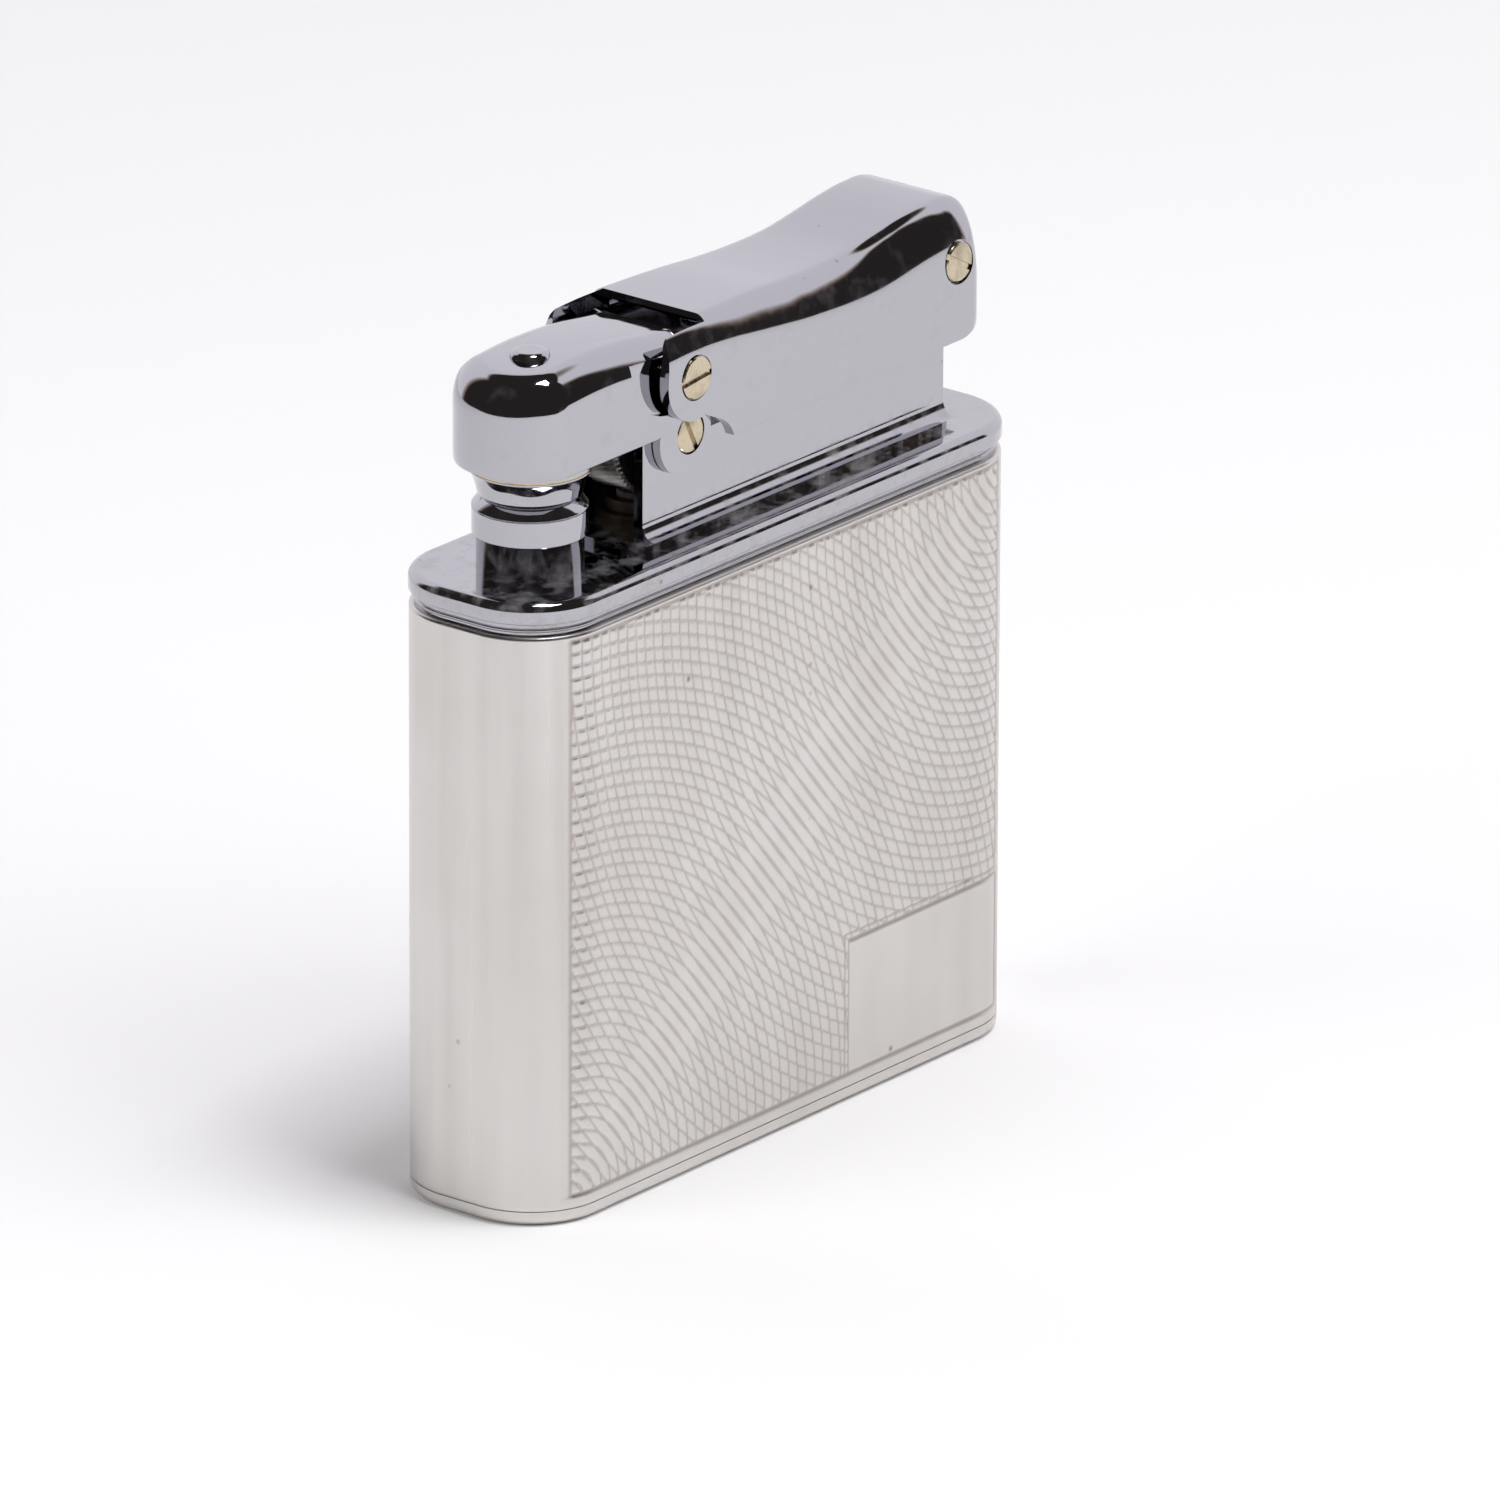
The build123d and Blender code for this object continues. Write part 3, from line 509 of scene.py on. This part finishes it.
def make_flint_wheel(material):
    """Hardened wheel with fine slanting teeth and bevelled edges."""
    low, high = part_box("flint_wheel")
    axis = Vector(JOINTS["wheel_turn"]["pos_m"])
    radius, half = (high.x - low.x) / 2, high.y
    bore_r = 1.48 * MM
    teeth, tooth_depth, slant = 66, 0.22 * MM, 0.12
    bevel_r, face_r = radius - 0.25 * MM, radius - 0.55 * MM
    bevel, tread = 0.05 * MM, half - 0.28 * MM
    angles = np.linspace(0, 2 * math.pi, teeth * 4, endpoint=False)
    tooth = tooth_depth * (1 - np.abs(((angles * teeth / math.pi) % 2) - 1))
    rows = [(bore_r, -half, 0.0), (face_r, -half, 0.0), (bevel_r, bevel - half, 0.0)]
    rows += [(radius, y, 1.0) for y in np.linspace(-tread, tread, 9)]
    rows += [(bevel_r, half - bevel, 0.0), (face_r, half, 0.0), (bore_r, half, 0.0)]
    loops = []
    for r, y, toothed in rows:
        turn = angles + slant * y / half
        size = r - toothed * tooth
        loops.append([(axis.x + q * math.cos(t), y, axis.z + q * math.sin(t)) for q, t in zip(size, turn)])
    made = build("spark_wheel", *ring_loft(loops), material, TEETH_SHARP_DEG)
    return finish_piece(made, "wheel", "wheel_steel", "flint_wheel")


# ---------------------------------------------------------------- snuffer arm and thumb lever
CARVE_SCALE = 1000               # booleans are more exact on a part a thousand times the size


def prism(outline, y_low, y_high):
    """Closed solid from an outline of (x, z) points, between two widths."""
    loops = [[(x, y, z) for x, z in outline] for y in (y_low, y_high)]
    vertices, faces = loft(loops)
    return build("cutter", vertices, faces, bpy.data.materials["chrome"])


def disc(x, z, radius, y_low, y_high, steps=96):
    """Cross cylinder as a closed solid."""
    return prism(arc((x, z), radius, 0, 360 - 360 / steps, steps), y_low, y_high)


def carve(piece, operation, *tools):
    """Boolean of piece with each tool, which is then removed."""
    piece.data.transform(Matrix.Scale(CARVE_SCALE, 4))
    for tool in tools:
        tool.data.transform(Matrix.Scale(CARVE_SCALE, 4))
        step = piece.modifiers.new("carve", "BOOLEAN")
        step.operation, step.object, step.solver = operation, tool, "EXACT"
        made = bpy.data.meshes.new_from_object(piece.evaluated_get(bpy.context.evaluated_depsgraph_get()))
        piece.modifiers.clear()
        piece.data = made
        bpy.data.objects.remove(tool)
    piece.data.transform(Matrix.Scale(1 / CARVE_SCALE, 4))
    piece.data.shade_smooth()
    piece.data.set_sharp_from_angle(angle=math.radians(CARVED_SHARP_DEG))


def cut_both(radius, x, z, inner_y, outer_y):
    """A disc on the near and the far side, between two distances from the middle."""
    return [disc(x, z, radius, *sorted((side * inner_y, side * outer_y))) for side in (-1, 1)]


def curve(points):
    """Smooth height over X through (x, z) points in millimetres, as a function in metres."""
    xs, zs = (np.array(c) * MM for c in zip(*points))
    slopes = np.gradient(zs, xs)

    def at(x):
        x = float(np.clip(x, xs[0], xs[-1]))
        i = min(int(np.searchsorted(xs, x, side="right")) - 1, len(xs) - 2)
        h = xs[i + 1] - xs[i]
        t = (x - xs[i]) / h
        return float((1 + 2 * t) * (1 - t) ** 2 * zs[i] + t * (1 - t) ** 2 * h * slopes[i]
                     + t * t * (3 - 2 * t) * zs[i + 1] + t * t * (t - 1) * h * slopes[i + 1])
    return at


CLEAR = 1 * MM                   # how far a cutting tool stands past what it cuts
SHOULDER_START = math.radians(4)  # the shoulders leave the flat sides at a slight angle
ARM_SHOULDER_STEPS, LEVER_SHOULDER_STEPS = 16, 18
ARM_TOP = curve([(-21, 50.95), (-18, 51.22), (-15, 51.4), (-12.6, 51.38), (-10, 51.2), (-8.6, 51.03),
                 (-5.5, 50.68)])
ARM_ROUND, ARM_ROUND_HIGH = 1.8 * MM, 2.2 * MM
ARM_SIDE, ARM_INNER = 4.0 * MM, 3.45 * MM
ARM_REAR_X, ARM_REAR_CORNER = -5.75 * MM, 0.9 * MM
ARM_BOTTOM = 45.1 * MM
ARM_HOLLOW_X, ARM_HOLLOW_TOP = -12.6 * MM, 49.5 * MM
ARM_EAR_R, ARM_EAR_SHIFT = 2.35 * MM, 0.5 * MM
SCOOP_R, SCOOP_SHIFT, SCOOP_DEPTH = 3.5 * MM, 1.5 * MM, 0.27 * MM
HEAD_SEAT_DEPTH = 0.35 * MM      # of the round recesses that the screw heads sit in


def shoulder(width, height, steps):
    """(inset, drop) pairs up a rounded shoulder, from its flat side to its top."""
    angles = np.linspace(SHOULDER_START, math.pi / 2, steps)
    return [(width * (1 - math.cos(a) / math.cos(SHOULDER_START)),
             height * (1 - math.sin(a)) / (1 - math.sin(SHOULDER_START))) for a in angles]


def arm_outline(inset, nose_x, nose_r):
    """Plan of the arm: a round nose cut flat at the sides, straight sides and a soft-cornered rear edge."""
    half, radius = ARM_SIDE - inset, nose_r - inset
    small = max(ARM_REAR_CORNER - inset, 0.05 * MM)
    corner_x, corner_y = ARM_REAR_X - ARM_REAR_CORNER, ARM_SIDE - ARM_REAR_CORNER
    # the side flat meets the nose in a short blend instead of a sharp crease
    turn = math.degrees(math.asin(min(half / radius, 1.0)))
    flat_start = nose_x - radius * math.cos(math.radians(turn)) + 0.35 * MM
    nose = [(nose_x - radius * math.cos(a), -radius * math.sin(a))
            for a in np.radians(np.linspace(turn - 4, 4 - turn, 61))]
    flat = [(x, half) for x in np.linspace(flat_start, corner_x, 44)[:-1]]
    far_corner = arc((corner_x, corner_y), small, 90, 0, 9)
    across = [(corner_x + small, y) for y in np.linspace(corner_y, -corner_y, 14)[1:-1]]
    mirrored = [(x, -y) for x, y in reversed(flat + far_corner)]
    return nose + flat + far_corner + across + mirrored


def make_arm(material):
    """Snuffer arm: a polished casting, hollow behind its nose, with ears round the two pivots."""
    nose_x = centre("snuffer_cup").x
    nose_r = nose_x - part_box("snuffer_arm")[0].x
    axle = Vector(JOINTS["arm_lift"]["pos_m"])
    pivot = Vector(JOINTS["lever_press"]["pos_m"])
    ear_x = axle.x - ARM_EAR_SHIFT
    loops = [[(x, y, ARM_BOTTOM + rise) for x, y in arm_outline(inset, nose_x, nose_r)]
             for inset, rise in ((0.12 * MM, 0.0), (0.04 * MM, 0.03 * MM))]
    wall_low = ARM_BOTTOM + 0.12 * MM
    outline = arm_outline(0.0, nose_x, nose_r)
    for share in np.linspace(0, 1, 8):
        loops.append([(x, y, wall_low + share * (ARM_TOP(x) - ARM_ROUND_HIGH - wall_low))
                      for x, y in outline])
    for inset, drop in shoulder(ARM_ROUND, ARM_ROUND_HIGH, ARM_SHOULDER_STEPS)[1:]:
        loops.append([(x, y, ARM_TOP(x) - drop) for x, y in arm_outline(inset, nose_x, nose_r)])
    piece = build("arm", *loft(loops), material)
    # the ears stop just short of the walls' faces, which keeps the boolean clean
    carve(piece, "UNION", *cut_both(ARM_EAR_R, ear_x, axle.z, ARM_INNER + 0.01 * MM, ARM_SIDE - 0.002 * MM))
    below, behind = ARM_BOTTOM - 5 * CLEAR, ARM_REAR_X + 5 * CLEAR
    tools = [prism([(ARM_HOLLOW_X, below), (behind, below), (behind, ARM_HOLLOW_TOP),
                    (ARM_HOLLOW_X, ARM_HOLLOW_TOP)], -ARM_INNER, ARM_INNER)]
    # a shallow scoop round the lever's ear on each side, which spares the arm's own ear
    for scoop in cut_both(SCOOP_R, pivot.x - SCOOP_SHIFT, pivot.z + SCOOP_SHIFT, ARM_SIDE - SCOOP_DEPTH,
                          ARM_SIDE + CLEAR):
        carve(scoop, "DIFFERENCE", disc(ear_x, axle.z, ARM_EAR_R, -2 * ARM_SIDE, 2 * ARM_SIDE))
        tools.append(scoop)
    tools.append(disc(axle.x, axle.z, 1.26 * MM, -ARM_SIDE - 0.1 * MM, HEAD_SEAT_DEPTH - ARM_SIDE))
    tools.append(disc(axle.x, axle.z, 0.9 * MM, -ARM_SIDE - CLEAR, ARM_SIDE + CLEAR))
    carve(piece, "DIFFERENCE", *tools)
    return finish_piece(piece, "arm", "chrome", "snuffer_arm")


LEVER_TOP = curve([(-10, 51.5), (-7, 51.66), (-4, 51.68), (0, 51.6), (3.3, 51.42), (6.6, 51.37), (9.6, 51.5),
                   (12.4, 51.9), (14.6, 52.25), (17.0, 52.45), (18.4, 52.4), (19.2, 52.1), (19.8, 51.5),
                   (20.1, 50.7), (20.25, 49.5)])
# height and width of its rounded shoulders
LEVER_BAND = curve([(-10, 2.5), (-5.5, 2.6), (0, 3.3), (6, 3.5), (12, 4.2), (20.3, 4.4)])
LEVER_SHOULDER = curve([(-10, 1.2), (-5.5, 1.3), (0, 1.6), (5, 1.8), (20.3, 1.8)])
LEVER_PLAN_R, LEVER_HEEL_R = 1.4 * MM, 2.4 * MM
LEVER_SHEET = 0.65 * MM
LEVER_EDGE_CUT = 0.07 * MM
LEVER_FRONT_EDGE_X, LEVER_EAR_TOP = -5.5 * MM, 51.45 * MM
LEVER_EAR_R, EAR_HEAD_SEAT_R, EAR_BORE_R = 2.6 * MM, 1.38 * MM, 0.83 * MM
STEER_HEAD_SEAT_R, STEER_BORE_R = 1.34 * MM, 0.55 * MM


def lever_section(x, inset, low_z, half, rear_x):
    """Closed section of the lever across Y: straight sides, rounded shoulders and a flat top.

    inset is 0 for the outside. Above 0 it is the hollow's section, which is open downwards.
    """
    plan_r = LEVER_PLAN_R - inset
    past = max(0.0, x - (rear_x - inset - plan_r))
    width = half - inset - (plan_r - math.sqrt(max(plan_r ** 2 - past ** 2, 0.0)))
    past_heel = max(0.0, x - (rear_x - inset - LEVER_HEEL_R))
    bottom = low_z + LEVER_HEEL_R - math.sqrt(max(LEVER_HEEL_R ** 2 - past_heel ** 2, 0.0))
    top = LEVER_TOP(min(x + inset * 0.6, rear_x)) - inset
    round_y = min(LEVER_SHOULDER(x), width * 0.8)
    round_z = min(LEVER_BAND(x) - inset, (top - bottom) * 0.8)
    if inset:
        bottom = low_z - CLEAR
        cut, left = 0.0, []
    else:
        cut = LEVER_EDGE_CUT
        left = [(-width + cut, bottom), (-width + cut * 0.3, bottom + cut * 0.3)]
    left += [(-width, z) for z in np.linspace(bottom + cut, top - round_z, 7)[:-1]]
    left += [(-width + across, top - drop)
             for across, drop in shoulder(round_y, round_z, LEVER_SHOULDER_STEPS)]
    left += [(y, top) for y in np.linspace(-width + round_y, 0, 6)[1:]]
    right = [(-y, z) for y, z in reversed(left[:-1])]
    return [(x, y, z) for y, z in left + right]


def make_lever(material):
    """Thumb lever: one pressing with rounded shoulders, a dip and a thumb hump, and two ears at its front."""
    low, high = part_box("thumb_lever")
    half, rear_x, bottom = high.y, high.x, low.z
    pivot = Vector(JOINTS["lever_press"]["pos_m"])
    axle = Vector(JOINTS["arm_lift"]["pos_m"])
    steer = centre("link_screw")
    front_x = low.x - 0.4 * MM

    def skin(name, inset):
        end = rear_x - inset
        body = np.linspace(front_x - inset, end - LEVER_PLAN_R, 80)
        bend = end - LEVER_PLAN_R * (1 - np.sin(np.radians(np.linspace(4, 89, 24))))
        sections = [lever_section(x, inset, bottom, half, rear_x) for x in (*body, *bend)]
        return build(name, *loft(sections), material)

    piece, hollow = skin("lever", 0.0), skin("cutter", LEVER_SHEET)
    inner_half, outside = half - LEVER_SHEET, half + CLEAR
    away, up = front_x - 2 * CLEAR, 54 * MM
    # outline of what is cut off in front of the ears and below them
    ear_front = pivot.x - 2.0 * MM
    ear = [(away, up), (away, bottom - 2 * CLEAR), (-3.45 * MM, bottom - 2 * CLEAR)]
    ear += arc((axle.x + 0.95 * MM, axle.z - 1.5 * MM), 2.25 * MM, 8, 62, 12)
    ear += arc((pivot.x, pivot.z), LEVER_EAR_R, -72, -180, 24)
    ear += [(pivot.x - LEVER_EAR_R + 0.03 * MM, pivot.z + 0.6 * MM),
            (ear_front - 0.42 * MM, pivot.z + 1.5 * MM)]
    ear += arc((ear_front + 0.45 * MM, LEVER_EAR_TOP - 0.8 * MM), 0.8 * MM, 165, 90, 8)
    ear += [(LEVER_FRONT_EDGE_X, LEVER_EAR_TOP), (LEVER_FRONT_EDGE_X, up)]
    tools = [hollow, prism(ear, -outside, outside)]
    tools.append(prism([(away, bottom), (LEVER_FRONT_EDGE_X, bottom), (LEVER_FRONT_EDGE_X, up), (away, up)],
                       -inner_half, inner_half))
    tools.append(disc(pivot.x, pivot.z, 3.15 * MM, -inner_half, inner_half))
    tools += cut_both(EAR_HEAD_SEAT_R, pivot.x, pivot.z, half - HEAD_SEAT_DEPTH, outside)
    tools.append(disc(steer.x, steer.z, STEER_HEAD_SEAT_R, -outside, HEAD_SEAT_DEPTH - half))
    tools.append(disc(pivot.x, pivot.z, EAR_BORE_R, -outside, outside))
    tools.append(disc(steer.x, steer.z, STEER_BORE_R, -outside, half - 0.1 * MM))
    carve(piece, "DIFFERENCE", *tools)
    return finish_piece(piece, "lever", "chrome", "thumb_lever")


def make_spring(node, body, material):
    """A spring: a copy of its CAD node's mesh in the given material, riding on the given body."""
    source = frame["nodes"][node]
    made = bpy.data.objects.new(node + "_wire", source.data.copy())
    bpy.context.scene.collection.objects.link(made)
    made.matrix_world = source.matrix_world
    made.data.materials.clear()
    made.data.materials.append(material)
    finish_piece(made, body, "spring_steel", node)
    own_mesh(made)


SOILED = {"mechanism_frame": "chrome_dusty", "flint_tube": "stained_brass"}


def carried_over(materials):
    """Gives every shown CAD node the material of its slot."""
    slots = {part["node"]: part["material_slot"] for part in frame["record"]["subparts"]}
    for name, node in frame["nodes"].items():
        if node.hide_render:
            continue
        chosen = SOILED.get(name, slots[name])
        node.data.materials.clear()
        node.data.materials.append(materials[chosen])


# ---------------------------------------------------------------- stage, light and camera
AZIMUTH, ELEVATION, ROLL = (math.radians(v) for v in (51.478, 20.463, 0.212))
CAMERA_DISTANCE = 1.3
LENS, SENSOR = 532.25, 36.0
AIM = Vector((0, 0, 0.025))
AIM_RIGHT, AIM_UP = -2.509 * MM, 2.571 * MM     # where the aim point sits from the picture's centre
BACKDROP_RIGHT, BACKDROP_LEFT = math.radians(75), math.radians(62)      # its edges, off the view direction
BACKDROP_RIGHT_EDGE, BACKDROP_LEFT_EDGE = (-0.03, 0.03), (-0.10, 0.10)  # how softly each side ends
BACKDROP_TOP_EDGE = (-0.78, -0.73)
ROOM_BANDS = ((0.0, (0.034, 0.029, 0.028, 1)), (0.12, (0.075, 0.045, 0.03, 1)), (0.4, (0.30, 0.24, 0.20, 1)),
              (1.0, (1.0, 0.985, 1.03, 1)))      # from the dark room to the backdrop
FLOOR_HALF = 0.5


def camera_axes():
    """Right, up and back of the camera."""
    back = Vector((-math.sin(AZIMUTH) * math.cos(ELEVATION), -math.cos(AZIMUTH) * math.cos(ELEVATION),
                   math.sin(ELEVATION)))
    right = Vector((math.cos(AZIMUTH), -math.sin(AZIMUTH), 0))
    up = back.cross(right)
    rolled_right = right * math.cos(ROLL) + up * math.sin(ROLL)
    rolled_up = up * math.cos(ROLL) - right * math.sin(ROLL)
    return rolled_right, rolled_up, back


def make_camera():
    """Long lens at the photograph's viewing angle."""
    right, up, back = camera_axes()
    data = bpy.data.cameras.new("camera")
    data.lens, data.sensor_width = LENS, SENSOR
    data.clip_start, data.clip_end = 0.05, 50
    made = bpy.data.objects.new("camera", data)
    bpy.context.scene.collection.objects.link(made)
    place = AIM + back * CAMERA_DISTANCE - right * AIM_RIGHT - up * AIM_UP
    made.matrix_world = Matrix.Translation(place) @ Matrix((right, up, back)).transposed().to_4x4()
    bpy.context.scene.camera = made


def area_light(name, place, target, size, power, glossy=True):
    """Soft square light at place, turned to target. glossy says whether the chrome mirrors it."""
    data = bpy.data.lights.new(name, "AREA")
    data.energy, data.size = power, size
    made = bpy.data.objects.new(name, data)
    bpy.context.scene.collection.objects.link(made)
    made.location = place
    made.visible_glossy = glossy
    made.rotation_mode = "QUATERNION"
    made.rotation_quaternion = (place - target).to_track_quat("Z", "Y")


def level(direction):
    """The direction laid flat."""
    return Vector((direction.x, direction.y, 0)).normalized()


def edge_mask(tree, direction, axis, low, high):
    """0 to 1 as the direction's share along axis goes from low to high."""
    along = tree.nodes.new("ShaderNodeVectorMath")
    along.operation = "DOT_PRODUCT"
    along.inputs[1].default_value = axis
    tree.links.new(direction, along.inputs[0])
    return ramp(tree, along.outputs["Value"], low, high, 0, 1)


def make_world():
    """Dark room with a pale backdrop behind the object, for the bands in the chrome."""
    world = bpy.data.worlds.new("studio")
    bpy.context.scene.world = world
    world.use_nodes = True
    tree = world.node_tree
    right, _, back = camera_axes()
    away = -level(back)
    direction = tree.nodes.new("ShaderNodeTexCoord").outputs["Generated"]
    right_edge = away * math.sin(BACKDROP_RIGHT) - right * math.cos(BACKDROP_RIGHT)
    left_edge = away * math.sin(BACKDROP_LEFT) + right * math.cos(BACKDROP_LEFT)
    lit = edge_mask(tree, direction, right_edge, *BACKDROP_RIGHT_EDGE)
    for axis, edge in ((left_edge, BACKDROP_LEFT_EDGE), (Vector((0, 0, -1)), BACKDROP_TOP_EDGE)):
        lit = math_node(tree, "MULTIPLY", lit, edge_mask(tree, direction, axis, *edge))
    bands = tree.nodes.new("ShaderNodeValToRGB")
    tree.links.new(lit, bands.inputs["Fac"])
    stops = bands.color_ramp.elements
    for stop, (position, color) in zip(stops, (ROOM_BANDS[0], ROOM_BANDS[-1])):
        stop.position, stop.color = position, color
    for position, color in ROOM_BANDS[1:-1]:
        stops.new(position).color = color
    background = tree.nodes["Background"]
    tree.links.new(bands.outputs["Color"], background.inputs["Color"])
    background.inputs["Strength"].default_value = 1.0


def make_stage():
    """Plain pale floor."""
    corners = [(-FLOOR_HALF, -FLOOR_HALF, 0), (FLOOR_HALF, -FLOOR_HALF, 0), (FLOOR_HALF, FLOOR_HALF, 0),
               (-FLOOR_HALF, FLOOR_HALF, 0)]
    paper = new_material("floor_paper", (0.93, 0.925, 0.935), 0.0, 0.9)[0]
    build("floor", corners, [(0, 1, 2, 3)], paper)


def make_lights():
    """Key from the right, a softbox overhead and a weak fill from the left."""
    right, _, back = camera_axes()
    forward = level(back)
    middle = Vector((0, 0, 0.03))
    key = middle + right * 0.55 + forward * 0.25 + Vector((0, 0, 0.65))
    overhead = middle + Vector((0.04, -0.2, 0.88))
    fill = middle - right * 0.8 + forward * 0.5 + Vector((0, 0, 0.5))
    area_light("key", key, middle, 0.8, 4.4, glossy=False)
    area_light("overhead", overhead, middle, 0.26, 3.6)
    area_light("fill", fill, middle, 0.9, 5.2, glossy=False)


def main():
    materials = make_materials()
    make_camera()
    make_world()
    make_stage()
    make_lights()
    make_sleeve(materials["satin_silver"])
    make_top_plate(materials["chrome_dusty"])
    make_burner(materials["chrome_dusty"])
    make_cup(materials["chrome"], materials["tank_brass"])
    make_flint_wheel(materials["wheel_steel"])
    make_arm(materials["chrome"])
    make_lever(materials["chrome"])
    make_spring("flint_spring", "case",
                materials["spring_steel"])
    make_spring("pawl_spring", "arm",
                materials["spring_steel"])
    carried_over(materials)
    bpy.context.scene.view_settings.view_transform = "Standard"


main()
